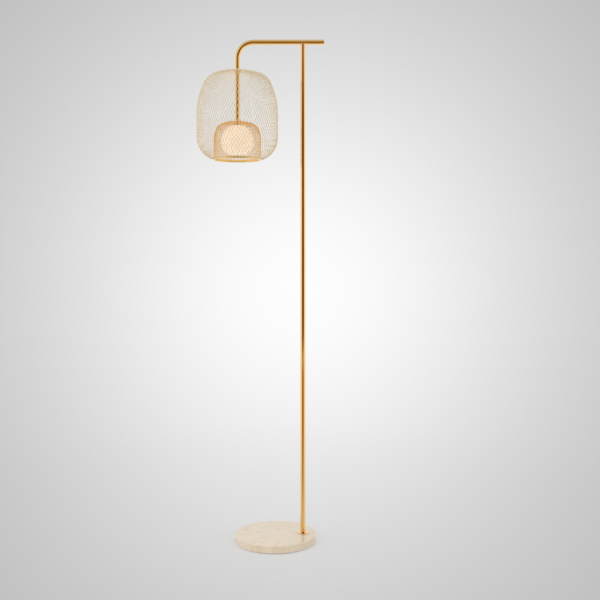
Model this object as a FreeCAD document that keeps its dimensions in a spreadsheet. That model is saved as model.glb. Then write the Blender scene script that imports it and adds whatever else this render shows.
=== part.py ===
import FreeCAD, Part
import math
import os
import re

import Sketcher
from FreeCAD import Vector

# A floor lamp: a marble disc carries an off-centre pole, a straight arm with one bend hangs a
# diamond-mesh cage from it, and a smaller mesh dome inside the cage surrounds an opal globe.
# Origin: centre of the base on the floor. +X runs from the shade towards the pole, +Z is up.
# Threads are modelled as plain cylinders at their nominal size.

doc = FreeCAD.newDocument("wire_cage_floor_lamp")
dims = doc.addObject("Spreadsheet::Sheet", "dims")

SIZES = (
    ("lamp_height", 1550, "floor to the top of the arm"),
    ("tube_diameter", 16, "pole, arm and drop tube"),
    ("tube_wall", 1, "wall of the pole, arm and drop tube"),
    ("pole_offset", 84, "base centre to the pole axis"),
    ("pole_section_count", 3, "equal screwed lengths of pole"),
    ("base_diameter", 250, "marble disc"),
    ("base_height", 25, "floor to the top of the marble, pad included"),
    ("base_edge_radius", 4, "rounding of the marble's top edge"),
    ("base_foot_radius", 2, "rounding of the marble's lower edge"),
    ("pad_thickness", 2, "soft pad under the marble"),
    ("pad_margin", 6, "pad edge inside the marble's edge"),
    ("recess_diameter", 52, "recess for the nut under the marble"),
    ("recess_depth", 15, "depth of that recess"),
    ("channel_width", 8, "lead channel from the recess to the rear rim"),
    ("channel_height", 7, "height of that channel"),
    ("gland_length", 14, "rubber gland in the channel"),
    ("gland_inset", 6, "gland inside the rim, measured along the channel"),
    ("thread_diameter", 10, "hollow threaded studs and nipples"),
    ("thread_bore", 7, "lead hole through studs, nipples and inserts"),
    ("fit_gap", 0.05, "radial gap of inserts, threads and running fits"),
    ("hole_gap", 0.2, "radial gap of a plain hole round a thread"),
    ("seat_gap", 0.1, "gap where the mesh is soldered to a hub or ring"),
    ("washer_diameter", 42, "clamping washer under the marble"),
    ("washer_thickness", 2.5, "clamping washer"),
    ("nut_width", 14, "hexagon nuts, across the flats"),
    ("base_nut_height", 4, "nut under the marble"),
    ("stud_depth", 16, "stud length screwed into an insert"),
    ("insert_length", 20, "threaded inserts inside the tubes"),
    ("foot_diameter", 35, "collar between the pole and the marble"),
    ("foot_height", 2.5, "thickness of that collar"),
    ("foot_edge_radius", 1.2, "rounding of that collar"),
    ("arm_reach", 202.5, "pole axis to the drop axis"),
    ("arm_overhang", 64, "arm beyond the pole axis, without its cap"),
    ("arm_bend_radius", 50, "centre line of the bend"),
    ("drop_length", 245.5, "arm axis to the lower end of the drop"),
    ("cap_head", 2, "visible head of the arm's end cap"),
    ("cap_plug", 8, "plug of the end cap inside the arm"),
    ("saddle_length", 18, "saddle nut inside the arm"),
    ("saddle_height", 3, "thickness of the saddle nut over the thread"),
    ("crown_diameter", 34, "disc at the top of the dome"),
    ("crown_thickness", 1.5, "that disc"),
    ("dome_diameter", 144.5, "middle of the dome's mesh"),
    ("dome_height", 110.5, "dome from its disc to the ring"),
    ("dome_crown_slope", 4, "slope of the dome's mesh at its disc, degrees"),
    ("dome_crown_turn", 18, "turn of the shallow crown, degrees"),
    ("dome_shoulder_turn", 46, "turn of the shoulder, degrees"),
    ("dome_shoulder_radius", 30, "shoulder of the dome"),
    ("dome_side_radius", 100, "easing of the dome's side"),
    ("dome_columns", 14, "mesh openings round the dome"),
    ("dome_rows", 5, "rows of half openings down the dome"),
    ("ring_outer", 151, "ring under the dome, outside"),
    ("ring_inner", 141, "ring under the dome, inside"),
    ("ring_height", 8, "ring under the dome"),
    ("ring_edge_radius", 0.8, "rounding of that ring"),
    ("cage_diameter", 250, "middle of the cage's mesh"),
    ("cage_height", 275.2, "cage from its hub to the ring's seat"),
    ("cage_crown_slope", 3, "slope of the cage's mesh at its hub, degrees"),
    ("cage_crown_turn", 15, "turn of the shallow crown, degrees"),
    ("cage_shoulder_turn", 47, "turn of the shoulder, degrees"),
    ("cage_shoulder_radius", 56, "shoulder of the cage"),
    ("cage_side_radius", 230, "easing of the cage's side"),
    ("cage_hem_radius", 70, "lower corner of the cage"),
    ("cage_seat_height", 3, "cage's lower rim above the ring's underside"),
    ("cage_columns", 20, "mesh openings round the cage"),
    ("cage_rows", 8, "rows of half openings down the cage"),
    ("strand_width", 3, "width of one strand of the mesh"),
    ("sheet_thickness", 1.5, "thickness of the mesh"),
    ("least_opening", 0.3, "smallest opening as a share of its cell"),
    ("hub_flange_diameter", 26, "flange of the cage's hub on the drop"),
    ("hub_flange_thickness", 1.5, "that flange"),
    ("hub_sleeve_diameter", 22, "sleeve of the cage's hub"),
    ("hub_sleeve_height", 10, "sleeve below the flange"),
    ("hub_screw_diameter", 4, "grub screw of the hub"),
    ("cup_diameter", 34, "cup that the globe screws into"),
    ("cup_wall", 1.5, "wall and top of the cup"),
    ("cup_height", 8.5, "height of the cup"),
    ("cup_nut_height", 3, "lock nut inside the cup"),
    ("globe_diameter", 101, "opal globe"),
    ("globe_wall", 2.5, "glass of the globe"),
    ("globe_neck_diameter", 28.4, "neck of the globe"),
    ("globe_neck_wall", 1.8, "glass of the neck"),
    ("globe_drop", 58.5, "top of the cup to the centre of the globe"),
    ("collar_top_gap", 2.6, "top of the cup to the globe's threaded collar"),
    ("seal_width", 3, "silicone seal over the collar"),
    ("holder_diameter", 18, "lamp holder"),
    ("holder_cap_height", 8, "metal cap of the lamp holder"),
    ("holder_cap_wall", 1.5, "wall of that cap"),
    ("holder_cap_top", 2.5, "threaded top of that cap"),
    ("holder_height", 14, "ceramic of the lamp holder"),
    ("pin_spacing", 9, "the lamp's two pins"),
    ("pin_diameter", 1.6, "the lamp's pins"),
    ("pin_length", 8, "the lamp's pins"),
    ("lamp_base_diameter", 15, "foot of the lamp"),
    ("lamp_base_height", 12, "foot of the lamp"),
    ("lamp_diameter", 14, "envelope of the lamp"),
    ("lamp_length", 34, "envelope of the lamp"),
    ("lead_diameter", 4.5, "internal lead"),
    ("lead_base_bend", 5.5, "bend of the lead under the stud"),
    ("lead_tee_bend", 7, "bend of the lead over the tee"),
    ("lead_height", 5, "lead above the floor in the channel"),
)
NAMES = {name for name, size, note in SIZES}

for row, (name, size, note) in enumerate(SIZES, 1):
    dims.set("A%d" % row, name)
    dims.set("B%d" % row, str(size))
    dims.set("C%d" % row, note)
    dims.setAlias("B%d" % row, name)
doc.recompute()


def bound(formula):
    """Return the formula with the name of each size pointing at its cell."""

    def cell(word):
        return "dims." + word.group() if word.group() in NAMES else word.group()

    return re.sub(r"[a-z][a-z_]+", cell, formula)


def value(formula):
    """Return what a formula of the sheet's sizes comes to."""
    return float(dims.evalExpression(bound(formula)))


# Levels and radii that several pieces share, all worked out from the sheet.
TUBE_OUTER = "tube_diameter / 2"
TUBE_INNER = "(tube_diameter / 2 - tube_wall)"
INSERT = "(tube_diameter / 2 - tube_wall - fit_gap)"
THREAD = "(thread_diameter / 2 - fit_gap)"
THREAD_HOLE = "thread_diameter / 2"
PLAIN_HOLE = "(thread_diameter / 2 + hole_gap)"
BORE = "thread_bore / 2"
ARM_AXIS = "(lamp_height - tube_diameter / 2)"
POLE_FOOT = "(base_height + foot_height)"
SECTION = "((lamp_height - tube_diameter / 2 - base_height - foot_height) / pole_section_count)"
BASE_NUT_TOP = "(pad_thickness + recess_depth - washer_thickness)"
DROP_X = "(pole_offset - arm_reach)"
DROP_END = "(lamp_height - tube_diameter / 2 - drop_length)"
CUP_TOP = "(lamp_height - tube_diameter / 2 - drop_length - crown_thickness)"
RING_TOP = "(%s - dome_height)" % CUP_TOP
RING_BOTTOM = "(%s - ring_height)" % RING_TOP
CAGE_FOOT = "(%s + cage_seat_height)" % RING_BOTTOM
HUB_TOP = "(%s + cage_height + hub_flange_thickness / 2)" % CAGE_FOOT
NUT_BOTTOM = "(%s - cup_wall - cup_nut_height)" % CUP_TOP
HOLDER_TOP = "(%s - fit_gap)" % NUT_BOTTOM
HOLDER_SEAT = "(%s - holder_cap_height)" % HOLDER_TOP
HOLDER_BOTTOM = "(%s - holder_height)" % HOLDER_SEAT
GLOBE_CENTRE = "(%s - globe_drop)" % CUP_TOP
NECK_TOP = "(%s - collar_top_gap)" % CUP_TOP
COLLAR_SEAT = "(%s + sqrt(globe_diameter^2 / 4 - globe_neck_diameter^2 / 4) + seat_gap)" % GLOBE_CENTRE

pieces = {}


def keep(name, item):
    """List a finished sub-part under its name."""
    item.Label = name
    pieces[name] = item
    return item


def place(item, x="0", y="0", z="0"):
    """Bind an object's position to the sheet."""
    for axis, formula in zip("xyz", (x, y, z)):
        item.setExpression("Placement.Base." + axis, bound(formula))


def new_body(name, x="0", y="0", z="0"):
    """Start a sub-part as a body at a bound position."""
    body = doc.addObject("PartDesign::Body", name)
    place(body, x, y, z)
    return keep(name, body)


def new_sketch(body, name, role):
    """Attach an empty sketch to one of the body's own origin planes."""
    sketch = body.newObject("Sketcher::SketchObject", name)
    planes = [feature for feature in body.Origin.OriginFeatures if feature.Role == role]
    sketch.AttachmentSupport = [(planes[0], "")]
    sketch.MapMode = "FlatFace"
    return sketch


def drive(sketch, kind, geometry, formula):
    """Add one dimension to a sketch and bind it to the sheet."""
    index = sketch.addConstraint(Sketcher.Constraint(kind, *geometry, value(formula)))
    sketch.setExpression("Constraints[%d]" % index, bound(formula))


def draw_outline(sketch, corners):
    """Draw a closed outline of straight lines through bound corners."""
    points = [Vector(value(across), value(up), 0) for across, up in corners]
    for start, end in zip(points, points[1:] + points[:1]):
        sketch.addGeometry(Part.LineSegment(start, end), False)
    for edge, (across, up) in enumerate(corners):
        joint = (edge, 2, (edge + 1) % len(corners), 1)
        sketch.addConstraint(Sketcher.Constraint("Coincident", *joint))
        drive(sketch, "DistanceX", (-1, 1, edge, 1), across)
        drive(sketch, "DistanceY", (-1, 1, edge, 1), up)


def draw_circle(sketch, radius, across="0", up="0"):
    """Draw a circle with a bound radius and centre."""
    centre = Vector(value(across), value(up), 0)
    circle = sketch.addGeometry(Part.Circle(centre, Vector(0, 0, 1), value(radius)), False)
    drive(sketch, "Radius", (circle,), radius)
    drive(sketch, "DistanceX", (-1, 1, circle, 3), across)
    drive(sketch, "DistanceY", (-1, 1, circle, 3), up)


def turned(name, corners, x="0", z="0"):
    """Turn a half outline of (radius, height) corners about a vertical axis."""
    body = new_body(name, x, "0", z)
    sketch = new_sketch(body, name + "_outline", "XZ_Plane")
    draw_outline(sketch, corners)
    turning = body.newObject("PartDesign::Revolution", name + "_turning")
    turning.Profile = sketch
    turning.ReferenceAxis = (sketch, ["V_Axis"])
    turning.Angle = 360
    return body


def sleeve(name, inner, outer, height, x="0", z="0"):
    """Turn a plain tube, bush or ring that stands on its position."""
    return turned(name, ((inner, "0"), (outer, "0"), (outer, height), (inner, height)), x, z)


def circle_edges(shape, radius, height):
    """Name the circular edges of a shape at a radius and a height of its own frame."""
    names = []
    for number, edge in enumerate(shape.Edges, 1):
        if not isinstance(edge.Curve, Part.Circle):
            continue
        if abs(edge.Curve.Radius - radius) < 1e-4 and abs(edge.Curve.Center.z - height) < 1e-4:
            names.append("Edge%d" % number)
    return names


def rounded(body, radius, edges):
    """Fillet a body's circular edges, given as (radius, height) formulas."""
    doc.recompute()
    tip = body.Tip
    names = [name for wide, high in edges for name in circle_edges(tip.Shape, value(wide), value(high))]
    fillet = body.newObject("PartDesign::Fillet", body.Name + "_rounding")
    fillet.Base = (tip, names)
    fillet.setExpression("Radius", bound(radius))
    return fillet


def pocket(body, sketch, length, reverse=False, symmetric=False):
    """Cut a sketch out of a body to a bound depth."""
    cut = body.newObject("PartDesign::Pocket", sketch.Name + "_cut")
    cut.Profile = sketch
    cut.Type = "Length"
    cut.Midplane = symmetric
    cut.Reversed = reverse
    cut.setExpression("Length", bound(length))
    return cut


def primitive(kind, name, x="0", y="0", z="0", **sizes):
    """Add a primitive with bound sizes and position."""
    item = doc.addObject("Part::" + kind, name)
    for size, formula in sizes.items():
        item.setExpression(size, bound(formula))
    place(item, x, y, z)
    return item


def combine(kind, name, base, tool):
    """Add a boolean of two objects."""
    item = doc.addObject("Part::" + kind, name)
    item.Base = base
    item.Tool = tool
    return item


def hexagon_nut(name, height, x, z):
    """Make a hexagon nut whose underside is at z."""
    blank = primitive("Prism", name + "_blank", x, "0", z, Circumradius="nut_width / sqrt(3)", Height=height)
    hole = primitive("Cylinder", name + "_hole", x, "0", z, Radius=THREAD_HOLE, Height=height)
    return keep(name, combine("Cut", name, blank, hole))


# Base: a marble disc with a recess and a lead channel underneath, on a soft pad.
pad = primitive("Cylinder", "base_pad", Radius="base_diameter / 2 - pad_margin", Height="pad_thickness")
keep("base_pad", pad)

slab = turned(
    "base_slab",
    (
        ("0", "0"),
        ("base_diameter / 2", "0"),
        ("base_diameter / 2", "base_height - pad_thickness"),
        ("0", "base_height - pad_thickness"),
    ),
    z="pad_thickness",
)
rounded(slab, "base_edge_radius", (("base_diameter / 2", "base_height - pad_thickness"),))
rounded(slab, "base_foot_radius", (("base_diameter / 2", "0"),))
recess = new_sketch(slab, "slab_recess", "XY_Plane")
draw_circle(recess, "recess_diameter / 2", "pole_offset")
pocket(slab, recess, "recess_depth", reverse=True)
stud_hole = new_sketch(slab, "slab_stud_hole", "XY_Plane")
draw_circle(stud_hole, PLAIN_HOLE, "pole_offset")
pocket(slab, stud_hole, "base_height", reverse=True)
channel = new_sketch(slab, "slab_channel", "XY_Plane")
draw_outline(
    channel,
    (
        ("pole_offset - channel_width / 2", "0"),
        ("pole_offset + channel_width / 2", "0"),
        ("pole_offset + channel_width / 2", "base_diameter / 2"),
        ("pole_offset - channel_width / 2", "base_diameter / 2"),
    ),
)
pocket(slab, channel, "channel_height", reverse=True)

RIM_AT_POLE = "sqrt(base_diameter^2 / 4 - (pole_offset + channel_width / 2)^2)"
gland_block = primitive(
    "Box",
    "gland_block",
    "pole_offset - channel_width / 2 + fit_gap",
    RIM_AT_POLE + " - gland_inset - gland_length",
    "pad_thickness",
    Length="channel_width - 2 * fit_gap",
    Width="gland_length",
    Height="channel_height - fit_gap",
)
gland_hole = primitive(
    "Cylinder",
    "gland_hole",
    "pole_offset",
    RIM_AT_POLE + " - gland_inset - gland_length",
    "lead_height",
    Radius="lead_diameter / 2 + fit_gap",
    Height="gland_length",
)
gland_hole.Placement.Rotation = FreeCAD.Rotation(Vector(1, 0, 0), -90)
keep("lead_gland", combine("Cut", "lead_gland", gland_block, gland_hole))

sleeve(
    "clamp_washer",
    PLAIN_HOLE,
    "washer_diameter / 2",
    "washer_thickness",
    "pole_offset",
    BASE_NUT_TOP,
)
hexagon_nut("base_nut", "base_nut_height", "pole_offset", BASE_NUT_TOP + " - base_nut_height")
sleeve(
    "base_stud",
    BORE,
    THREAD,
    "foot_height + base_height - (%s) + base_nut_height + stud_depth" % BASE_NUT_TOP,
    "pole_offset",
    BASE_NUT_TOP + " - base_nut_height",
)

# Pole: a thin collar on the marble and equal lengths of tube, screwed end to end with brass inserts.
foot = sleeve("foot_collar", PLAIN_HOLE, "foot_diameter / 2", "foot_height", "pole_offset", "base_height")
rounded(foot, "foot_edge_radius", (("foot_diameter / 2", "foot_height"),))
sleeve("foot_insert", THREAD_HOLE, INSERT, "insert_length", "pole_offset", POLE_FOOT)

SECTION_NAMES = ("pole_lower", "pole_middle", "pole_upper")
for number, name in enumerate(SECTION_NAMES):
    pole = sleeve(
        name,
        TUBE_INNER,
        TUBE_OUTER,
        SECTION,
        "pole_offset",
        "%s + %d * %s" % (POLE_FOOT, number, SECTION),
    )
saddle_cut = new_sketch(pole, "pole_saddle", "YZ_Plane")
draw_circle(saddle_cut, TUBE_OUTER, "0", SECTION)
pocket(pole, saddle_cut, "2 * tube_diameter", symmetric=True)

for number, name in enumerate(("lower", "upper"), 1):
    seam = "%s + %d * %s" % (POLE_FOOT, number, SECTION)
    sleeve(name + "_socket", THREAD_HOLE, INSERT, "insert_length", "pole_offset", seam + " - insert_length")
    turned(
        name + "_stud",
        (
            (BORE, "-stud_depth"),
            (THREAD, "-stud_depth"),
            (THREAD, "0"),
            (INSERT, "0"),
            (INSERT, "insert_length"),
            (BORE, "insert_length"),
        ),
        "pole_offset",
        seam,
    )

# Tee: a hollow nipple ties the pole's top insert to a saddle nut that lies inside the arm.
TEE_SEAT = "(%s - tube_diameter / 2 - seat_gap)" % ARM_AXIS
SADDLE_TOP = "(%s - tube_diameter / 2 + tube_wall + saddle_height)" % ARM_AXIS
sleeve("tee_insert", THREAD_HOLE, INSERT, "insert_length", "pole_offset", TEE_SEAT + " - insert_length")
sleeve(
    "tee_nipple",
    BORE,
    THREAD,
    "%s - %s + stud_depth" % (SADDLE_TOP, TEE_SEAT),
    "pole_offset",
    TEE_SEAT + " - stud_depth",
)

# Arm: one tube, straight over the pole, bent once and dropped into the shade.
arm = new_body("arm_tube", "pole_offset", "0", ARM_AXIS)
route = new_sketch(arm, "arm_route", "XZ_Plane")
bend_centre = Vector(value("arm_bend_radius - arm_reach"), value("-arm_bend_radius"), 0)
bend_circle = Part.Circle(bend_centre, Vector(0, 0, 1), value("arm_bend_radius"))
route.addGeometry(
    Part.LineSegment(Vector(value("arm_overhang"), 0, 0), Vector(bend_centre.x, 0, 0)), False
)
route.addGeometry(Part.ArcOfCircle(bend_circle, math.pi / 2, math.pi), False)
route.addGeometry(
    Part.LineSegment(
        Vector(value("-arm_reach"), bend_centre.y, 0),
        Vector(value("-arm_reach"), value("-drop_length"), 0),
    ),
    False,
)
route.addConstraint(Sketcher.Constraint("Tangent", 0, 2, 1, 1))
route.addConstraint(Sketcher.Constraint("Tangent", 1, 2, 2, 1))
route.addConstraint(Sketcher.Constraint("Horizontal", 0))
route.addConstraint(Sketcher.Constraint("Vertical", 2))
route.addConstraint(Sketcher.Constraint("PointOnObject", 0, 1, -1))
drive(route, "DistanceX", (-1, 1, 0, 1), "arm_overhang")
drive(route, "Radius", (1,), "arm_bend_radius")
drive(route, "DistanceX", (-1, 1, 2, 2), "-arm_reach")
drive(route, "DistanceY", (-1, 1, 2, 2), "-drop_length")
section = new_sketch(arm, "arm_section", "YZ_Plane")
section.setExpression("AttachmentOffset.Base.z", bound("arm_overhang"))
draw_circle(section, TUBE_OUTER)
draw_circle(section, TUBE_INNER)
doc.recompute()
bending = arm.newObject("PartDesign::AdditivePipe", "arm_bending")
bending.Profile = section
bending.Spine = (route, ["Edge1", "Edge2", "Edge3"])
doc.recompute()
tee_hole = new_sketch(arm, "arm_tee_hole", "XY_Plane")
draw_circle(tee_hole, PLAIN_HOLE)
pocket(arm, tee_hole, "tube_diameter")

turned(
    "arm_end_cap",
    (
        ("0", "-cap_plug"),
        (INSERT, "-cap_plug"),
        (INSERT, "0"),
        (TUBE_OUTER, "0"),
        (TUBE_OUTER, "cap_head / 2"),
        (INSERT, "cap_head"),
        ("0", "cap_head"),
    ),
    "pole_offset + arm_overhang",
    ARM_AXIS,
)
doc.recompute()
pieces["arm_end_cap"].Placement.Rotation = FreeCAD.Rotation(Vector(0, 1, 0), 90)

saddle_rod = primitive(
    "Cylinder",
    "saddle_rod",
    "pole_offset - saddle_length / 2",
    "0",
    ARM_AXIS,
    Radius=INSERT,
    Height="saddle_length",
)
saddle_rod.Placement.Rotation = FreeCAD.Rotation(Vector(0, 1, 0), 90)
saddle_block = primitive(
    "Box",
    "saddle_block",
    "pole_offset - saddle_length / 2",
    "-tube_diameter / 2",
    ARM_AXIS + " - tube_diameter / 2",
    Length="saddle_length",
    Width="tube_diameter",
    Height="tube_wall + saddle_height",
)
saddle_blank = combine("Common", "saddle_blank", saddle_rod, saddle_block)
saddle_hole = primitive(
    "Cylinder",
    "saddle_hole",
    "pole_offset",
    "0",
    ARM_AXIS + " - tube_diameter / 2",
    Radius=THREAD_HOLE,
    Height="tube_diameter",
)
keep("tee_saddle_nut", combine("Cut", "tee_saddle_nut", saddle_blank, saddle_hole))

# Shade fixings: the drop's insert, the nipple through the stack, the dome's disc, the cup and its nut.
sleeve("drop_insert", THREAD_HOLE, INSERT, "insert_length", DROP_X, DROP_END)
sleeve(
    "shade_nipple",
    BORE,
    THREAD,
    "%s + stud_depth - (%s - holder_cap_top)" % (DROP_END, HOLDER_TOP),
    DROP_X,
    HOLDER_TOP + " - holder_cap_top",
)
sleeve("dome_crown", PLAIN_HOLE, "crown_diameter / 2", "crown_thickness", DROP_X, CUP_TOP)
turned(
    "globe_cup",
    (
        (PLAIN_HOLE, "0"),
        ("cup_diameter / 2", "0"),
        ("cup_diameter / 2", "-cup_height"),
        ("cup_diameter / 2 - cup_wall", "-cup_height"),
        ("cup_diameter / 2 - cup_wall", "-cup_wall"),
        (PLAIN_HOLE, "-cup_wall"),
    ),
    DROP_X,
    CUP_TOP,
)
hexagon_nut("cup_nut", "cup_nut_height", DROP_X, NUT_BOTTOM)

# Cage hub: a flanged collar on the drop, held by a grub screw, with the cage's mesh soldered to it.
hub = turned(
    "cage_hub",
    (
        ("tube_diameter / 2 + fit_gap", "0"),
        ("hub_flange_diameter / 2", "0"),
        ("hub_flange_diameter / 2", "-hub_flange_thickness"),
        ("hub_sleeve_diameter / 2", "-hub_flange_thickness"),
        ("hub_sleeve_diameter / 2", "-hub_flange_thickness - hub_sleeve_height"),
        ("tube_diameter / 2 + fit_gap", "-hub_flange_thickness - hub_sleeve_height"),
    ),
    DROP_X,
    HUB_TOP,
)
screw_hole = new_sketch(hub, "hub_screw_hole", "XZ_Plane")
draw_circle(
    screw_hole,
    "hub_screw_diameter / 2 + fit_gap",
    "0",
    "-hub_flange_thickness - hub_sleeve_height / 2",
)
pocket(hub, screw_hole, "hub_sleeve_diameter")
screw = primitive(
    "Cylinder",
    "cage_hub_screw",
    DROP_X,
    "tube_diameter / 2 + fit_gap",
    HUB_TOP + " - hub_flange_thickness - hub_sleeve_height / 2",
    Radius="hub_screw_diameter / 2",
    Height="(hub_sleeve_diameter - tube_diameter) / 2 - fit_gap",
)
screw.Placement.Rotation = FreeCAD.Rotation(Vector(1, 0, 0), -90)
keep("cage_hub_screw", screw)

# Ring: joins the lower rims of the dome and the cage and leaves the way open for the globe.
ring = sleeve("shade_ring", "ring_inner / 2", "ring_outer / 2", "ring_height", DROP_X, RING_BOTTOM)
rounded(
    ring,
    "ring_edge_radius",
    (("ring_inner / 2", "0"), ("ring_outer / 2", "0")),
)
doc.recompute()


# Mesh: a sheet of diamond openings that follows a chain of arcs round a vertical axis.
# The dome is one piece. The cage is four panels, soldered along the middle of their shared strands.
def arc_step(radius, turn):
    """One arc of a mesh outline: its length and its turn in radians."""
    return (radius * math.radians(turn), math.radians(turn))


def follow(steps, start, heading, distance):
    """Go along an outline and return the radius, the height and the heading there."""
    radius, height = start
    left = distance
    for length, turn in steps:
        part = min(left, length)
        bend = turn * part / length
        if turn:
            curve = length / turn
            radius += curve * (math.sin(heading + bend) - math.sin(heading))
            height += curve * (math.cos(heading + bend) - math.cos(heading))
        else:
            radius += part * math.cos(heading)
            height -= part * math.sin(heading)
        heading += bend
        left -= part
        if left <= 0:
            break
    return radius, height, heading


def crown_radius(span, slope, turn):
    """Radius of the shallow crown that covers a span while it turns."""
    return span / (math.sin(math.radians(slope + turn)) - math.sin(math.radians(slope)))


def drop_of(steps, heading):
    """Height that an outline loses from its start to its end."""
    total = sum(length for length, turn in steps)
    return -follow(steps, (0, 0), heading, total)[1]


def mesh_steps(name, hub_radius, height, hem):
    """Chain the crown, shoulder, easing, straight side and hem of a mesh outline."""
    slope = value(name + "_crown_slope")
    crown_turn = value(name + "_crown_turn")
    shoulder_turn = value(name + "_shoulder_turn")
    side_turn = 90 - slope - crown_turn - shoulder_turn
    shoulder = arc_step(value(name + "_shoulder_radius"), shoulder_turn)
    side = arc_step(value(name + "_side_radius"), side_turn)
    heading = math.radians(slope + crown_turn)
    length = shoulder[0] + side[0]
    reach = follow((shoulder, side), (0, 0), heading, length)[0]
    span = value(name + "_diameter") / 2 - hub_radius - reach
    crown = arc_step(crown_radius(span, slope, crown_turn), crown_turn)
    curved = [crown, shoulder, side]
    lost = drop_of(curved, math.radians(slope)) + drop_of(hem, math.pi / 2)
    return curved + [(height - lost, 0.0)] + hem


def mesh_solid(steps, start, heading, rows, columns, cuts, panel):
    """Build a panel of mesh as one closed solid: a frame of four strands round every diamond opening.

    The panel is a range of half columns. One that leaves some out has a wall along its two seams.
    """
    whole_turn = len(panel) == 2 * columns
    total = sum(length for length, turn in steps)
    pitch = total / rows
    half_angle = math.pi / columns
    half_width = value("strand_width") / 2
    half_sheet = value("sheet_thickness") / 2
    triangles = []

    def corner(point, side):
        distance, angle = point
        radius, height, slope = follow(steps, start, heading, distance)
        normal = (math.sin(slope), math.cos(slope))
        if distance <= 0:
            normal = cuts[0]
        if distance >= total:
            normal = cuts[1]
        radius += side * half_sheet * normal[0]
        height += side * half_sheet * normal[1]
        return Vector(radius * math.cos(angle), radius * math.sin(angle), height)

    def strip(first, second, third, fourth):
        """Skin a four-cornered patch on the outside and on the inside."""
        for side in (1, -1):
            a, b, c, d = (corner(point, side) for point in (first, second, third, fourth))
            triangles.extend(((a, b, c), (a, c, d)))

    def wall(first, second):
        """Join the two skins along one edge of an opening or a rim."""
        a, b = corner(first, 1), corner(second, 1)
        c, d = corner(second, -1), corner(first, -1)
        triangles.extend(((a, b, c), (a, c, d)))

    for row in range(rows + 1):
        middle = row * pitch
        radius = follow(steps, start, heading, middle)[0]
        reach = radius * half_angle
        clear = reach * pitch / math.hypot(reach, pitch)
        share = max(value("least_opening"), 1 - half_width / clear)
        for half_column in panel:
            if half_column % 2 != row % 2:
                continue
            angle = half_column * half_angle
            beside = (1, 1, -1, -1)
            cell = [
                (middle - pitch, angle),
                (middle, angle + half_angle),
                (middle + pitch, angle),
                (middle, angle - half_angle),
            ]
            hole = [
                (middle + share * (distance - middle), angle + share * (turn - angle))
                for distance, turn in cell
            ]
            if row in (0, rows):
                rim = half_width if row == 0 else -half_width
                ends = angle + half_angle, angle - half_angle
                inset = share * half_angle * (1 - half_width / (share * pitch))
                tip, hole_tip = (cell[2], hole[2]) if row == 0 else (cell[0], hole[0])
                edge = [(middle, turn) for turn in ends]
                hole_edge = [(middle + rim, angle + inset), (middle + rim, angle - inset)]
                cell = [edge[0], tip, edge[1]]
                hole = [hole_edge[0], hole_tip, hole_edge[1]]
                beside = (1, -1, None)
            for number, step in enumerate(beside):
                after = (number + 1) % len(cell)
                strip(cell[number], cell[after], hole[after], hole[number])
                wall(hole[number], hole[after])
                on_rim = step is None
                if on_rim or not (whole_turn or half_column + step in panel):
                    wall(cell[number], cell[after])
    shell = Part.makeShell([Part.Face(Part.makePolygon([a, b, c, a])) for a, b, c in triangles])
    shell.sewShape()
    solid = Part.Solid(shell)
    if solid.Volume < 0:
        solid.reverse()
    return solid


def mesh_piece(name, shape, height):
    """Keep a mesh as a sub-part on the drop's axis."""
    item = doc.addObject("Part::Feature", name)
    item.Shape = shape
    place(item, DROP_X, "0", height)
    return keep(name, item)


dome_columns = int(value("dome_columns"))
dome_start = value("crown_diameter / 2 + seat_gap") / math.cos(math.pi / dome_columns)
dome_steps = mesh_steps("dome", dome_start, value("dome_height + crown_thickness / 2"), [])
mesh_piece(
    "dome_mesh",
    mesh_solid(
        dome_steps,
        (dome_start, value("crown_thickness / 2")),
        math.radians(value("dome_crown_slope")),
        int(value("dome_rows")),
        dome_columns,
        ((0, 1), (1, 0)),
        range(2 * dome_columns),
    ),
    CUP_TOP,
)

cage_columns = int(value("cage_columns"))
cage_start = value("hub_flange_diameter / 2 + seat_gap") / math.cos(math.pi / cage_columns)
cage_end = value("ring_outer / 2 + seat_gap") / math.cos(math.pi / cage_columns)
hem_turn = math.degrees(math.acos(1 - (value("cage_diameter / 2") - cage_end) / value("cage_hem_radius")))
cage_steps = mesh_steps(
    "cage", cage_start, value("cage_height"), [arc_step(value("cage_hem_radius"), hem_turn)]
)
CAGE_PANELS = ("right", "rear", "left", "front")
for number, side in enumerate(CAGE_PANELS):
    seams = [math.floor(2 * cage_columns * (number + end) / len(CAGE_PANELS)) for end in (-0.5, 0.5)]
    mesh_piece(
        "cage_mesh_" + side,
        mesh_solid(
            cage_steps,
            (cage_start, value("cage_height")),
            math.radians(value("cage_crown_slope")),
            int(value("cage_rows")),
            cage_columns,
            ((0, 1), (0, -1)),
            range(*seams),
        ),
        CAGE_FOOT,
    )

# Globe: a blown opal ball with a short neck, cemented into a threaded collar under a soft seal.
ball = primitive("Sphere", "globe_ball", DROP_X, "0", GLOBE_CENTRE, Radius="globe_diameter / 2")
neck = primitive(
    "Cylinder",
    "globe_neck",
    DROP_X,
    "0",
    GLOBE_CENTRE,
    Radius="globe_neck_diameter / 2",
    Height="%s - %s" % (NECK_TOP, GLOBE_CENTRE),
)
GLOBE_INNER = "globe_diameter / 2 - globe_wall"
hollow = primitive("Sphere", "globe_hollow", DROP_X, "0", GLOBE_CENTRE, Radius=GLOBE_INNER)
mouth = primitive(
    "Cylinder",
    "globe_mouth",
    DROP_X,
    "0",
    GLOBE_CENTRE,
    Radius="globe_neck_diameter / 2 - globe_neck_wall",
    Height="%s - %s" % (NECK_TOP, GLOBE_CENTRE),
)
glass = combine("Fuse", "globe_glass", ball, neck)
emptied = combine("Fuse", "globe_void", hollow, mouth)
keep("opal_globe", combine("Cut", "opal_globe", glass, emptied))
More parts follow.
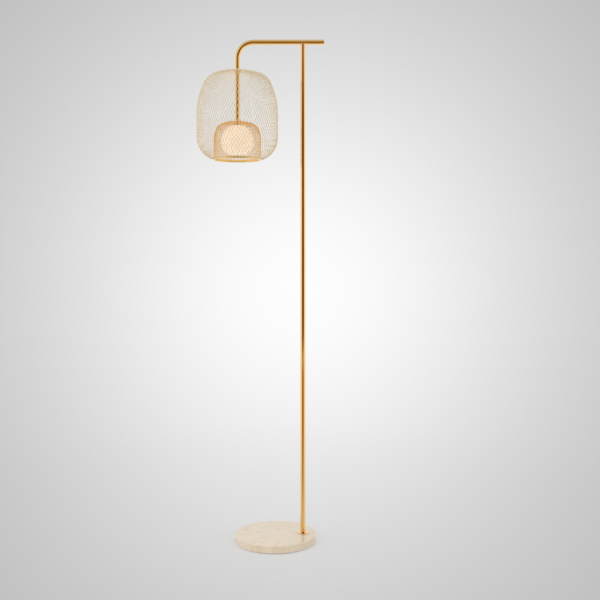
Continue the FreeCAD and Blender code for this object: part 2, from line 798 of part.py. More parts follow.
sleeve(
    "globe_collar",
    "globe_neck_diameter / 2 + fit_gap",
    "cup_diameter / 2 - cup_wall - fit_gap",
    "%s - %s" % (NECK_TOP, COLLAR_SEAT),
    DROP_X,
    COLLAR_SEAT,
)
sleeve(
    "globe_seal",
    "cup_diameter / 2 - cup_wall - fit_gap - seal_width",
    "cup_diameter / 2 - cup_wall - fit_gap",
    "collar_top_gap - cup_wall",
    DROP_X,
    NECK_TOP,
)

# Lamp holder and lamp: a ceramic two-pin holder under a threaded cap, and the lamp that plugs in.
turned(
    "holder_cap",
    (
        (THREAD_HOLE, "0"),
        ("holder_diameter / 2", "0"),
        ("holder_diameter / 2", "-holder_cap_height"),
        ("holder_diameter / 2 - holder_cap_wall", "-holder_cap_height"),
        ("holder_diameter / 2 - holder_cap_wall", "-holder_cap_top"),
        (THREAD_HOLE, "-holder_cap_top"),
    ),
    DROP_X,
    HOLDER_TOP,
)
holder = new_body("lamp_holder", DROP_X, "0", HOLDER_BOTTOM)
holder_outline = new_sketch(holder, "holder_outline", "XY_Plane")
draw_circle(holder_outline, "holder_diameter / 2")
holder_body = holder.newObject("PartDesign::Pad", "holder_body")
holder_body.Profile = holder_outline
holder_body.setExpression("Length", bound("holder_height"))
pin_holes = new_sketch(holder, "holder_pin_holes", "XY_Plane")
for side in ("-", ""):
    draw_circle(pin_holes, "pin_diameter / 2 + fit_gap", side + "pin_spacing / 2")
pocket(holder, pin_holes, "pin_length + hole_gap", reverse=True)

LAMP_SEAT = "(%s - hole_gap - lamp_base_height)" % HOLDER_BOTTOM
lamp_foot = primitive(
    "Cylinder",
    "lamp_base",
    DROP_X,
    "0",
    LAMP_SEAT,
    Radius="lamp_base_diameter / 2",
    Height="lamp_base_height",
)
keep("lamp_base", lamp_foot)
envelope_body = primitive(
    "Cylinder",
    "envelope_body",
    DROP_X,
    "0",
    LAMP_SEAT + " - lamp_length + lamp_diameter / 2",
    Radius="lamp_diameter / 2",
    Height="lamp_length - lamp_diameter / 2",
)
envelope_tip = primitive(
    "Sphere",
    "envelope_tip",
    DROP_X,
    "0",
    LAMP_SEAT + " - lamp_length + lamp_diameter / 2",
    Radius="lamp_diameter / 2",
)
keep("lamp_envelope", combine("Fuse", "lamp_envelope", envelope_body, envelope_tip))
pin_pair = [
    primitive(
        "Cylinder",
        "lamp_pin_" + word,
        DROP_X + sign + "pin_spacing / 2",
        "0",
        HOLDER_BOTTOM + " - hole_gap",
        Radius="pin_diameter / 2",
        Height="pin_length",
    )
    for word, sign in (("left", " - "), ("right", " + "))
]
pins = doc.addObject("Part::Compound", "lamp_pins")
pins.Links = pin_pair
keep("lamp_pins", pins)
doc.recompute()


# Lead: one cable from the gland through the channel, pole, arm and drop to the lamp holder.
def lead_route():
    """Chain the straight runs and tangent arcs of the lead from the gland to the holder."""
    x, floor = value("pole_offset"), value("lead_height")
    arm_z, drop_x = value(ARM_AXIS), value(DROP_X)
    foot_bend, tee_bend = value("lead_base_bend"), value("lead_tee_bend")
    arm_bend = value("arm_bend_radius")
    tail = value(RIM_AT_POLE + " - gland_inset")
    cavity = value(HOLDER_TOP + " - holder_cap_top") - value("holder_cap_height - holder_cap_top") / 2
    bends = (
        (Vector(x, 0, floor), Vector(0, -1, 0), Vector(0, 0, 1), foot_bend),
        (Vector(x, 0, arm_z), Vector(0, 0, 1), Vector(-1, 0, 0), tee_bend),
        (Vector(drop_x, 0, arm_z), Vector(-1, 0, 0), Vector(0, 0, -1), arm_bend),
    )
    edges = []
    here = Vector(x, tail, floor)
    for turn_point, inward, outward, radius in bends:
        begin = turn_point - inward * radius
        end = turn_point + outward * radius
        middle = turn_point + (outward - inward) * radius * (1 - math.sqrt(0.5))
        edges.append(Part.LineSegment(here, begin).toShape())
        edges.append(Part.Arc(begin, middle, end).toShape())
        here = end
    edges.append(Part.LineSegment(here, Vector(drop_x, 0, cavity)).toShape())
    return Part.Wire(edges)


route_wire = lead_route()
start = route_wire.Edges[0]
ring_edge = Part.Circle(start.valueAt(start.FirstParameter), Vector(0, 1, 0), value("lead_diameter / 2"))
lead = doc.addObject("Part::Feature", "inner_lead")
lead.Shape = route_wire.makePipeShell([Part.Wire(ring_edge.toShape())], True, False)
keep("inner_lead", lead)
doc.recompute()
swept = math.pi * value("lead_diameter") ** 2 / 4 * route_wire.Length
print("inner lead: %.0f mm long, volume %.4f of its sweep" % (route_wire.Length, lead.Shape.Volume / swept))

faults = [item.Name for item in doc.Objects if "Invalid" in item.State or "Error" in item.State]
for name, item in pieces.items():
    if item.Shape.isNull() or not item.Shape.isValid() or not item.Shape.Solids:
        faults.append(name)
if faults:
    raise RuntimeError("failed: " + ", ".join(faults))

os.makedirs("parts", exist_ok=True)
for name, item in pieces.items():
    item.Shape.exportStep("parts/%s.step" % name)
print(len(pieces), "sub-parts")
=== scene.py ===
import math

import bmesh
import bpy
from mathutils import Matrix, Vector


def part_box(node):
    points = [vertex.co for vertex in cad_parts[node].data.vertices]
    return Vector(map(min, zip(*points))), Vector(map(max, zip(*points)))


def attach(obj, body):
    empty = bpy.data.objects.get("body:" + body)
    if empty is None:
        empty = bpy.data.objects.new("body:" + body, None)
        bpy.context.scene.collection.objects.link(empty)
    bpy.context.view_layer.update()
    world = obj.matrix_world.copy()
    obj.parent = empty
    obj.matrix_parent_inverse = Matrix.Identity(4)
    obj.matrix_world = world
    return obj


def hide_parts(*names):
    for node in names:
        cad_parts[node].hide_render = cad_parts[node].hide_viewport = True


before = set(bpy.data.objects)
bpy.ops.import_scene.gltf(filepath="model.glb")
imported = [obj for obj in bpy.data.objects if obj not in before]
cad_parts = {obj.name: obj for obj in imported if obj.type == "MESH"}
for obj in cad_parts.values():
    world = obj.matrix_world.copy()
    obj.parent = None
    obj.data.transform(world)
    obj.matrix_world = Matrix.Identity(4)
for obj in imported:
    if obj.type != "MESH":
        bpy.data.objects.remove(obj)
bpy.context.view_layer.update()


# Camera: square to the plane of the arm and a little above the middle of the pole, as the lamp was taken.
# The frame is slid down, not tilted, so that the pole stays upright.
CAMERA_PLACE = (0.075, -2.811, 0.917)
FOCAL_PIXELS = 909
PHOTO_PIXELS = 600
HORIZON_ROW = 244.3

camera_data = bpy.data.cameras.new("camera")
camera_data.sensor_width = 36
camera_data.lens = camera_data.sensor_width * FOCAL_PIXELS / PHOTO_PIXELS
camera_data.shift_y = (HORIZON_ROW - PHOTO_PIXELS / 2) / PHOTO_PIXELS
camera = bpy.data.objects.new("camera", camera_data)
camera.location = CAMERA_PLACE
camera.rotation_euler = (math.radians(90), 0, 0)
bpy.context.collection.objects.link(camera)
bpy.context.scene.camera = camera
bpy.context.scene.view_settings.view_transform = "Standard"


# Studio: a pale paper floor that runs up on all sides into a pale round wall, with a painted pool of light
# that is palest behind the lamp. Tall soft lights stand left and right and one hangs above. The side behind
# the camera is unlit; a dark sheet there and the paper's dark front, seen only in reflections, are painted
# shade that the polished tubes show as a dark core.
FLOOR_REACH = 4.2
FLOOR_MIDDLE = 0.5
SWEEP_RADIUS = 1.8
SWEEP_STEPS = 16
WALL_HEIGHT = 5
STUDIO_TURNS = 96
# Painted pool of light on the paper: brightest round GLOW_ROW, falling off to DIMMEST.
GLOW_ROW = 290
GLOW_LEVEL = 0.98
GLOW_FALL = 0.672
GLOW_REACH = 0.33
GLOW_TURNS_BACK = -1.2
DIMMEST = 0.52
PAPER_GAIN = 1.2
SHADOW_REACH = (0.4, 1.8)
SHADOW_GLOW = 0.6
# Painted shade and light that only reflections see on the paper: dark in front, pale at the sides.
REFLECTED_SHADE_EDGE = (-0.5, 0.3)
REFLECTED_PAINTED_SHADE = (0.36, 0.18, 0.015, 1)
REFLECTED_PAINTED_SIDES = (0.98, 0.96, 0.93, 1)
# A dark sheet of painted shade behind the camera, seen only in reflections.
UNLIT_PLACE = (0.6, -4.3)
UNLIT_WIDTH = 9.2
UNLIT_HEIGHT = 6
UNLIT_RISE = (2.0, 3.6)
PAINTED_SHADE_TONE = (0.13, 0.05, 0.002, 1)
PAINTED_SHADE_TOP_TONE = (0.62, 0.56, 0.48, 1)
AIR_LEVEL = 0.6
AROUND_RISE = (0.1, 0.9)
AROUND_TONES = (1.0, 0.62)


def srgb(red, green, blue):
    """Turn a colour as an eye reads it, 0 to 255, into the linear values that a shader takes."""

    def linear(level):
        share = level / 255
        return share / 12.92 if share <= 0.04045 else ((share + 0.055) / 1.055) ** 2.4

    return (linear(red), linear(green), linear(blue), 1)


def node(tree, kind, **settings):
    """Add a node and set its properties, and the inputs named in `inputs`."""
    made = tree.nodes.new(kind)
    for socket, setting in settings.pop("inputs", {}).items():
        made.inputs[socket].default_value = setting
    for name, setting in settings.items():
        setattr(made, name, setting)
    return made


def maths(tree, operation, *feeds):
    """Add a sum of numbers and sockets and return its result."""
    made = node(tree, "ShaderNodeMath", operation=operation)
    for socket, feed in zip(made.inputs, feeds):
        if isinstance(feed, (int, float)):
            socket.default_value = feed
        else:
            tree.links.new(feed, socket)
    return made.outputs[0]


def ranged(tree, feed, low=0.0, high=1.0, to_low=0.0, to_high=1.0):
    """Stretch a value from one range to another and return the result."""
    made = node(tree, "ShaderNodeMapRange")
    for socket, setting in (("From Min", low), ("From Max", high), ("To Min", to_low), ("To Max", to_high)):
        made.inputs[socket].default_value = setting
    tree.links.new(feed, made.inputs["Value"])
    return made.outputs["Result"]


def blend(tree, share, first, second):
    """Mix two colours, each a value or a socket, and return the result."""
    made = node(tree, "ShaderNodeMix", data_type="RGBA")
    tree.links.new(share, made.inputs["Factor"])
    for socket, feed in (("A", first), ("B", second)):
        if isinstance(feed, tuple):
            made.inputs[socket].default_value = feed
        else:
            tree.links.new(feed, made.inputs[socket])
    return made.outputs["Result"]


def new_material(name):
    """Start a material and return it with its node tree."""
    material = bpy.data.materials.new(name)
    material.use_nodes = True
    return material, material.node_tree


def into_scene(name, data):
    """Wrap mesh, curve or light data in an object of the scene."""
    made = bpy.data.objects.new(name, data)
    bpy.context.collection.objects.link(made)
    return made


def paper_material():
    """Studio paper with a painted pool of light: its brightness falls off evenly round the point behind the
    lamp's middle.

    Nearer than GLOW_TURNS_BACK the tones come again in reverse. Metal shows the paper in front as unlit, a
    painted shade that only reflections see.
    """
    material, tree = new_material("studio_paper")
    tree.nodes.clear()
    link = tree.links.new
    place = node(tree, "ShaderNodeTexCoord").outputs["Object"]
    apart = node(tree, "ShaderNodeSeparateXYZ")
    link(place, apart.inputs[0])
    x, y, z = apart.outputs
    beyond = maths(tree, "ABSOLUTE", maths(tree, "SUBTRACT", y, GLOW_TURNS_BACK))
    depth = maths(tree, "ADD", beyond, GLOW_TURNS_BACK - CAMERA_PLACE[1])
    across = maths(tree, "DIVIDE", maths(tree, "SUBTRACT", x, CAMERA_PLACE[0]), depth)
    upward = maths(tree, "DIVIDE", maths(tree, "SUBTRACT", z, CAMERA_PLACE[2]), depth)
    upward = maths(tree, "ADD", upward, (GLOW_ROW - HORIZON_ROW) / FOCAL_PIXELS)
    spread = maths(tree, "MULTIPLY", across, across)
    spread = maths(tree, "ADD", spread, maths(tree, "MULTIPLY", upward, upward))
    fall = maths(tree, "DIVIDE", spread, maths(tree, "ADD", spread, GLOW_REACH**2))
    level = maths(tree, "SUBTRACT", GLOW_LEVEL, maths(tree, "MULTIPLY", fall, GLOW_FALL))
    level = maths(tree, "MAXIMUM", level, DIMMEST)
    path = node(tree, "ShaderNodeLightPath")
    sideways = maths(tree, "ADD", maths(tree, "ABSOLUTE", x), y)
    # Painted shade in reflections: metal sees the paper in front as dark.
    mirrored = blend(tree, ranged(tree, sideways, *REFLECTED_SHADE_EDGE), REFLECTED_PAINTED_SHADE, REFLECTED_PAINTED_SIDES)
    seen = maths(tree, "MAXIMUM", path.outputs["Is Camera Ray"], path.outputs["Is Glossy Ray"])
    seen = maths(tree, "MAXIMUM", seen, path.outputs["Is Transmission Ray"])
    away = node(tree, "ShaderNodeVectorMath", operation="LENGTH")
    link(place, away.inputs[0])
    plain = ranged(tree, away.outputs["Value"], *SHADOW_REACH, SHADOW_GLOW)
    paint = node(tree, "ShaderNodeBsdfDiffuse")
    shine = node(tree, "ShaderNodeEmission")
    link(maths(tree, "MULTIPLY", level, PAPER_GAIN), paint.inputs["Color"])
    link(blend(tree, path.outputs["Is Glossy Ray"], level, mirrored), shine.inputs["Color"])
    paper = node(tree, "ShaderNodeMixShader")
    link(maths(tree, "MULTIPLY", seen, plain), paper.inputs["Fac"])
    link(paint.outputs[0], paper.inputs[1])
    link(shine.outputs[0], paper.inputs[2])
    sides = node(tree, "ShaderNodeMixShader")
    link(node(tree, "ShaderNodeNewGeometry").outputs["Backfacing"], sides.inputs["Fac"])
    link(paper.outputs[0], sides.inputs[1])
    link(node(tree, "ShaderNodeBsdfTransparent").outputs[0], sides.inputs[2])
    link(sides.outputs[0], node(tree, "ShaderNodeOutputMaterial").inputs["Surface"])
    return material


def paper_sheet(name, profile, material, closed=False):
    """Turn an open profile of (radius, height) points all round the studio, its face inwards."""
    vertices = []
    for radius, height in profile:
        for step in range(STUDIO_TURNS):
            angle = 2 * math.pi * step / STUDIO_TURNS
            vertices.append((radius * math.cos(angle), radius * math.sin(angle), height))
    faces = []
    for row in range(len(profile) - 1):
        for step in range(STUDIO_TURNS):
            after = (step + 1) % STUDIO_TURNS
            here, there = row * STUDIO_TURNS, (row + 1) * STUDIO_TURNS
            faces.append((here + step, there + step, there + after, here + after))
    if closed:
        faces.append(tuple(range(STUDIO_TURNS)))
    mesh = bpy.data.meshes.new(name)
    mesh.from_pydata(vertices, [], faces)
    mesh.shade_smooth()
    mesh.materials.append(material)
    sheet = into_scene(name, mesh)
    return sheet


def unlit_side():
    """A dark sheet of painted shade for the unlit end of the studio, which only polished metal shows."""
    material, tree = new_material("unlit_side")
    tree.nodes.clear()
    apart = node(tree, "ShaderNodeSeparateXYZ")
    shine = node(tree, "ShaderNodeEmission")
    link = tree.links.new
    link(node(tree, "ShaderNodeTexCoord").outputs["Object"], apart.inputs[0])
    rise = ranged(tree, apart.outputs["Z"], *UNLIT_RISE)
    link(blend(tree, rise, PAINTED_SHADE_TONE, PAINTED_SHADE_TOP_TONE), shine.inputs["Color"])
    link(shine.outputs[0], node(tree, "ShaderNodeOutputMaterial").inputs["Surface"])
    middle, depth = UNLIT_PLACE
    left = middle - UNLIT_WIDTH / 2
    right = middle + UNLIT_WIDTH / 2
    corners = [
        (left, depth, 0),
        (right, depth, 0),
        (right, depth, UNLIT_HEIGHT),
        (left, depth, UNLIT_HEIGHT),
    ]
    mesh = bpy.data.meshes.new("unlit_side")
    mesh.from_pydata(corners, [], [(0, 1, 2, 3)])
    mesh.materials.append(material)
    flag = into_scene("unlit_side", mesh)
    for kind in ("camera", "diffuse", "transmission", "shadow", "volume_scatter"):
        setattr(flag, "visible_" + kind, False)


def studio_world():
    """Air that lights the lamp evenly, and the pale surroundings that polished metal shows."""
    world = bpy.data.worlds.new("studio")
    bpy.context.scene.world = world
    world.use_nodes = True
    tree = world.node_tree
    tree.nodes.clear()
    link = tree.links.new
    path = node(tree, "ShaderNodeLightPath")
    apart = node(tree, "ShaderNodeSeparateXYZ")
    link(node(tree, "ShaderNodeTexCoord").outputs["Generated"], apart.inputs[0])
    around = ranged(tree, apart.outputs["Z"], *AROUND_RISE, *AROUND_TONES)
    dim = (DIMMEST, DIMMEST, DIMMEST, 1)
    air = node(tree, "ShaderNodeBackground", inputs={"Color": (1, 1, 1, 1), "Strength": AIR_LEVEL})
    view = node(tree, "ShaderNodeBackground", inputs={"Color": dim, "Strength": 1.0})
    mirrored = node(tree, "ShaderNodeBackground", inputs={"Strength": 1.0})
    link(around, mirrored.inputs["Color"])
    glossy = path.outputs["Is Glossy Ray"]
    seen_back = maths(tree, "MAXIMUM", glossy, path.outputs["Is Transmission Ray"])
    first = node(tree, "ShaderNodeMixShader")
    link(seen_back, first.inputs["Fac"])
    link(air.outputs[0], first.inputs[1])
    link(mirrored.outputs[0], first.inputs[2])
    second = node(tree, "ShaderNodeMixShader")
    link(path.outputs["Is Camera Ray"], second.inputs["Fac"])
    link(first.outputs[0], second.inputs[1])
    link(view.outputs[0], second.inputs[2])
    link(second.outputs[0], node(tree, "ShaderNodeOutputWorld").inputs["Surface"])


def soft_light(name, place, aim, width, height, level):
    """Stand a soft light whose face is as bright as white paper at level 1."""
    light = bpy.data.lights.new(name, "AREA")
    light.shape = "RECTANGLE"
    light.size = width
    light.size_y = height
    light.energy = level * math.pi * width * height
    lamp = into_scene(name, light)
    lamp.location = place
    lamp.rotation_euler = (Vector(aim) - Vector(place)).to_track_quat("-Z", "Y").to_euler()
    lamp.visible_camera = False
    lamp.visible_glossy = False


paper = paper_material()
paper_sheet("studio_floor", ((FLOOR_MIDDLE, 0), (FLOOR_REACH, 0)), paper, closed=True)
sweep = []
for step in range(SWEEP_STEPS + 1):
    climb = math.radians(90) * step / SWEEP_STEPS
    out = FLOOR_REACH + SWEEP_RADIUS * math.sin(climb)
    sweep.append((out, SWEEP_RADIUS - SWEEP_RADIUS * math.cos(climb)))
wall = paper_sheet("studio_wall", sweep + [(FLOOR_REACH + SWEEP_RADIUS, WALL_HEIGHT)], paper)
for kind in ("diffuse", "glossy", "shadow", "volume_scatter"):
    setattr(wall, "visible_" + kind, False)
unlit_side()
studio_world()
soft_light("left_light", place=(-2.4, -1.9, 1.5), aim=(0, 0, 0.8), width=1.8, height=2.8, level=1.45)
soft_light("right_light", place=(2.6, -1.3, 1.7), aim=(0, 0, 1.0), width=1.4, height=2.4, level=1.15)
soft_light("top_light", place=(-0.2, -0.4, 3.8), aim=(0, 0, 0), width=3.2, height=3.2, level=0.8)


# Base: a turned disc of cream marble with a polished face and softly rounded edges, on a thin dark pad.
# Underneath it has a recess for the nut and a channel that brings the lead out at the rear.
MARBLE_CREAM = srgb(239, 222, 199)
MARBLE_SHADE = srgb(231, 212, 187)
MARBLE_VEIN = srgb(219, 197, 169)
PAD_COLOUR = srgb(58, 54, 50)
PAD_WORN = srgb(70, 66, 61)
EDGE_ROUNDING = 0.004
FOOT_ROUNDING = 0.002
RECESS_RADIUS = 0.026
RECESS_DEPTH = 0.015
STUD_HOLE_RADIUS = 0.0052
CHANNEL_WIDTH = 0.008
CHANNEL_HEIGHT = 0.007
PAST = 0.002
EDGE_SUPPORT = 1.15
SLAB_TURNS = 192
SLAB_EDGE_STEPS = 8
CUTTER_TURNS = 64
POLISHED_COAT = (0.2, 0.08)
MARBLE_GLOSS = (0.2, 0.34)
CLOUD_EDGES = (0.42, 0.75)
CLOUD_SHARE = 0.8
VEIN_BEND = 0.35
VEIN_WIDTH = 0.03
VEIN_SHARE = 0.4
GRAIN_GLOSS = (0.8, 1.2)
GRAIN_DEPTH = 0.0004
ON_AXIS = 1e-7


def noise(tree, place, scale, detail, **settings):
    """Add a noise that is read at a place, and return its outputs."""
    made = node(tree, "ShaderNodeTexNoise", inputs={"Scale": scale, "Detail": detail, **settings})
    tree.links.new(place, made.inputs["Vector"])
    return made.outputs


def coated(shader, weight, roughness):
    """Give a finish its clear skin."""
    shader.inputs["Coat Weight"].default_value = weight
    shader.inputs["Coat Roughness"].default_value = roughness


def marble_material():
    """Cream marble: soft clouds, a few faint veins and a polish that wanders a little."""
    material, tree = new_material("marble")
    shader = tree.nodes["Principled BSDF"]
    coated(shader, *POLISHED_COAT)
    link = tree.links.new
    place = node(tree, "ShaderNodeTexCoord").outputs["Object"]
    cloud = noise(tree, place, scale=14, detail=6, Roughness=0.62, Distortion=0.6)["Fac"]
    bend = node(tree, "ShaderNodeMix", data_type="RGBA", blend_type="ADD", inputs={"Factor": VEIN_BEND})
    link(place, bend.inputs["A"])
    link(noise(tree, place, scale=6, detail=3)["Color"], bend.inputs["B"])
    bent = bend.outputs["Result"]
    vein = noise(tree, bent, scale=9, detail=8, Roughness=0.55, Distortion=1.2)["Fac"]
    beside_vein = maths(tree, "ABSOLUTE", maths(tree, "SUBTRACT", vein, 0.5))
    veined = ranged(tree, beside_vein, 0, VEIN_WIDTH, VEIN_SHARE, 0)
    clouded = ranged(tree, cloud, *CLOUD_EDGES, 0, CLOUD_SHARE)
    ground = blend(tree, clouded, MARBLE_CREAM, MARBLE_SHADE)
    link(blend(tree, veined, ground, MARBLE_VEIN), shader.inputs["Base Color"])
    link(ranged(tree, cloud, 0, 1, *MARBLE_GLOSS), shader.inputs["Roughness"])
    return material


def grain_material(name, colour, second, scale, roughness, bump=0.1):
    """A plain solid finish whose colour and gloss wander a little from place to place."""
    material, tree = new_material(name)
    shader = tree.nodes["Principled BSDF"]
    link = tree.links.new
    gloss = [roughness * share for share in GRAIN_GLOSS]
    grain = noise(tree, node(tree, "ShaderNodeTexCoord").outputs["Object"], scale, detail=5)["Fac"]
    relief = node(tree, "ShaderNodeBump", inputs={"Strength": bump, "Distance": GRAIN_DEPTH})
    link(blend(tree, grain, colour, second), shader.inputs["Base Color"])
    link(ranged(tree, grain, 0, 1, *gloss), shader.inputs["Roughness"])
    link(grain, relief.inputs["Height"])
    link(relief.outputs["Normal"], shader.inputs["Normal"])
    return material


def finished(mesh, sharp=35):
    """Smooth a mesh between its sharp edges, with all its faces outwards."""
    form = bmesh.new()
    form.from_mesh(mesh)
    bmesh.ops.recalc_face_normals(form, faces=form.faces)
    for face in form.faces:
        face.smooth = True
    for edge in form.edges:
        edge.smooth = len(edge.link_faces) == 2 and edge.calc_face_angle(0) < math.radians(sharp)
    form.to_mesh(mesh)
    form.free()


def turned_piece(name, outline, axis, turns=128):
    """Turn a closed outline of (radius, height) points about an upright axis, in metres."""
    form = bmesh.new()
    rings = []
    x, y = axis
    for radius, height in outline:
        count = 1 if radius < ON_AXIS else turns
        ring = []
        for step in range(count):
            angle = 2 * math.pi * step / turns
            ring.append(form.verts.new((x + radius * math.cos(angle), y + radius * math.sin(angle), height)))
        rings.append(ring)
    for here, there in zip(rings, rings[1:] + rings[:1]):
        if len(here) == 1 and len(there) == 1:
            continue
        for step in range(turns):
            after = (step + 1) % turns
            corners = [here[0]] if len(here) == 1 else [here[step], here[after]]
            corners += [there[0]] if len(there) == 1 else [there[after], there[step]]
            form.faces.new(corners)
    mesh = bpy.data.meshes.new(name)
    form.to_mesh(mesh)
    form.free()
    finished(mesh)
    return into_scene(name, mesh)


def eased(corners, radii, steps=5):
    """Round the corners of a closed outline, with a ring beside each rounding to keep its flats flat."""
    outline = []
    for number, (corner, radius) in enumerate(zip(corners, radii)):
        here = Vector(corner)
        if radius == 0:
            outline.append(tuple(here))
            continue
        before = (Vector(corners[number - 1]) - here).normalized()
        after = (Vector(corners[(number + 1) % len(corners)]) - here).normalized()
        half = before.angle(after) / 2
        reach = radius / math.tan(half)
        outline.append(tuple(here + before * reach * EDGE_SUPPORT))
        centre = here + (before + after).normalized() * radius / math.sin(half)
        start, end = here + before * reach - centre, here + after * reach - centre
        sweep_angle = start.angle_signed(end)
        for step in range(steps + 1):
            spun = start.copy()
            spun.rotate(Matrix.Rotation(-sweep_angle * step / steps, 2))
            outline.append(tuple(centre + spun))
        outline.append(tuple(here + after * reach * EDGE_SUPPORT))
    return outline


def carved(piece, *cutters):
    """Cut other pieces out of a piece and remove them."""
    for cutter in cutters:
        cut = piece.modifiers.new("cut", "BOOLEAN")
        cut.operation = "DIFFERENCE"
        cut.solver = "EXACT"
        cut.object = cutter
    whole = piece.evaluated_get(bpy.context.evaluated_depsgraph_get())
    mesh = bpy.data.meshes.new_from_object(whole)
    piece.modifiers.clear()
    piece.data = mesh
    for cutter in cutters:
        bpy.data.objects.remove(cutter)
    finished(mesh)


def block(name, low, high):
    """Make a plain block between two corners, to cut with."""
    form = bmesh.new()
    bmesh.ops.create_cube(form, size=1)
    for corner in form.verts:
        for axis in range(3):
            corner.co[axis] = low[axis] if corner.co[axis] < 0 else high[axis]
    mesh = bpy.data.meshes.new(name)
    form.to_mesh(mesh)
    form.free()
    return into_scene(name, mesh)


def dress(name, material):
    """Give a piece that keeps its modelled shape its finish."""
    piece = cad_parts[name]
    piece.data.materials.clear()
    piece.data.materials.append(material)


def stands_for(piece, name, body, material):
    """Dress a finer piece, let it ride with its body and hide the plain one."""
    piece.data.materials.clear()
    piece.data.materials.append(material)
    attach(piece, body)
    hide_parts(name)


pole_low, pole_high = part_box("pole_lower")
pole_axis = ((pole_low.x + pole_high.x) / 2, (pole_low.y + pole_high.y) / 2)
slab_low, slab_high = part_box("base_slab")
slab_radius = (slab_high.x - slab_low.x) / 2
slab_corners = ((0, slab_low.z), (slab_radius, slab_low.z), (slab_radius, slab_high.z), (0, slab_high.z))
slab_outline = eased(slab_corners, (0, FOOT_ROUNDING, EDGE_ROUNDING, 0), SLAB_EDGE_STEPS)
slab = turned_piece("marble_disc", slab_outline, (0, 0), SLAB_TURNS)
recess_corners = [
    (0, slab_low.z - PAST),
    (RECESS_RADIUS, slab_low.z - PAST),
    (RECESS_RADIUS, slab_low.z + RECESS_DEPTH),
    (STUD_HOLE_RADIUS, slab_low.z + RECESS_DEPTH),
    (STUD_HOLE_RADIUS, slab_high.z + PAST),
    (0, slab_high.z + PAST),
]
channel = block(
    "channel_cutter",
    (pole_axis[0] - CHANNEL_WIDTH / 2, 0, slab_low.z - PAST),
    (pole_axis[0] + CHANNEL_WIDTH / 2, slab_radius, slab_low.z + CHANNEL_HEIGHT),
)
carved(slab, turned_piece("recess_cutter", recess_corners, pole_axis, CUTTER_TURNS), channel)
stands_for(slab, "base_slab", "stand", marble_material())
dress("base_pad", grain_material("soft_pad", PAD_COLOUR, PAD_WORN, scale=900, roughness=0.9, bump=0.4))


# Base fixings: a zinc-plated washer and nut under the marble pull the hollow stud, and the pole on it,
# down tight. A black rubber gland holds the lead in the marble's channel.
ZINC = srgb(176, 178, 182)
ZINC_DULL = srgb(150, 152, 156)
ZINC_GLOSS = (0.3, 0.45)
BLACK_RUBBER = srgb(34, 34, 34)
BLACK_RUBBER_WORN = srgb(44, 44, 44)
POLISH_DEPTH = 0.0001
COAT_ROUGHNESS = 0.05


def polish_group():
    """Lengthwise polishing marks: a gloss that wanders and a fine relief."""
    group = bpy.data.node_groups.new("polishing_marks", "ShaderNodeTree")
    face = group.interface
    face.new_socket("Vector", in_out="INPUT", socket_type="NodeSocketVector")
    face.new_socket("Finest", in_out="INPUT", socket_type="NodeSocketFloat")
    face.new_socket("Gloss Low", in_out="INPUT", socket_type="NodeSocketFloat")
    face.new_socket("Gloss High", in_out="INPUT", socket_type="NodeSocketFloat")
    face.new_socket("Roughness", in_out="OUTPUT", socket_type="NodeSocketFloat")
    face.new_socket("Marks", in_out="OUTPUT", socket_type="NodeSocketFloat")
    face.new_socket("Patches", in_out="OUTPUT", socket_type="NodeSocketFloat")
    source = node(group, "NodeGroupInput")
    result = node(group, "NodeGroupOutput")
    vector = source.outputs["Vector"]
    marks = node(group, "ShaderNodeTexNoise", inputs={"Detail": 4, "Roughness": 0.6})
    patches = noise(group, vector, scale=11, detail=3, Distortion=0.4)["Fac"]
    mixed = node(group, "ShaderNodeMix", data_type="FLOAT", inputs={"Factor": 0.5})
    gloss = node(group, "ShaderNodeMapRange", inputs={"From Min": 0.3, "From Max": 0.7})
    link = group.links.new
    link(vector, marks.inputs["Vector"])
    link(source.outputs["Finest"], marks.inputs["Scale"])
    link(marks.outputs["Fac"], mixed.inputs["A"])
    link(patches, mixed.inputs["B"])
    link(mixed.outputs["Result"], gloss.inputs["Value"])
    link(source.outputs["Gloss Low"], gloss.inputs["To Min"])
    link(source.outputs["Gloss High"], gloss.inputs["To Max"])
    link(gloss.outputs["Result"], result.inputs["Roughness"])
    link(marks.outputs["Fac"], result.inputs["Marks"])
    link(patches, result.inputs["Patches"])
    return group


POLISH = polish_group()


def metal_material(
    name, colour, second, gloss, stretch=(1, 1, 1), finest=900, relief=0.05, coat=0.0, metallic=1.0
):
    """A polished metal with marks drawn out along `stretch`. A satin plating is less metallic."""
    material, tree = new_material(name)
    shader = tree.nodes["Principled BSDF"]
    shader.inputs["Metallic"].default_value = metallic
    coated(shader, coat, COAT_ROUGHNESS)
    drawn = node(tree, "ShaderNodeMapping", inputs={"Scale": stretch})
    marks = node(tree, "ShaderNodeGroup", node_tree=POLISH)
    marks.inputs["Finest"].default_value = finest
    marks.inputs["Gloss Low"].default_value = gloss[0]
    marks.inputs["Gloss High"].default_value = gloss[1]
    bump = node(tree, "ShaderNodeBump", inputs={"Strength": relief, "Distance": POLISH_DEPTH})
    link = tree.links.new
    link(node(tree, "ShaderNodeTexCoord").outputs["Object"], drawn.inputs["Vector"])
    link(drawn.outputs["Vector"], marks.inputs["Vector"])
    link(blend(tree, marks.outputs["Patches"], colour, second), shader.inputs["Base Color"])
    link(marks.outputs["Roughness"], shader.inputs["Roughness"])
    link(marks.outputs["Marks"], bump.inputs["Height"])
    link(bump.outputs["Normal"], shader.inputs["Normal"])
    return material


steel = metal_material("zinc_steel", ZINC, ZINC_DULL, ZINC_GLOSS)
for grey in ("clamp_washer", "base_nut", "base_stud"):
    dress(grey, steel)
rubber = grain_material("black_rubber", BLACK_RUBBER, BLACK_RUBBER_WORN, scale=600, roughness=0.8)
dress("lead_gland", rubber)


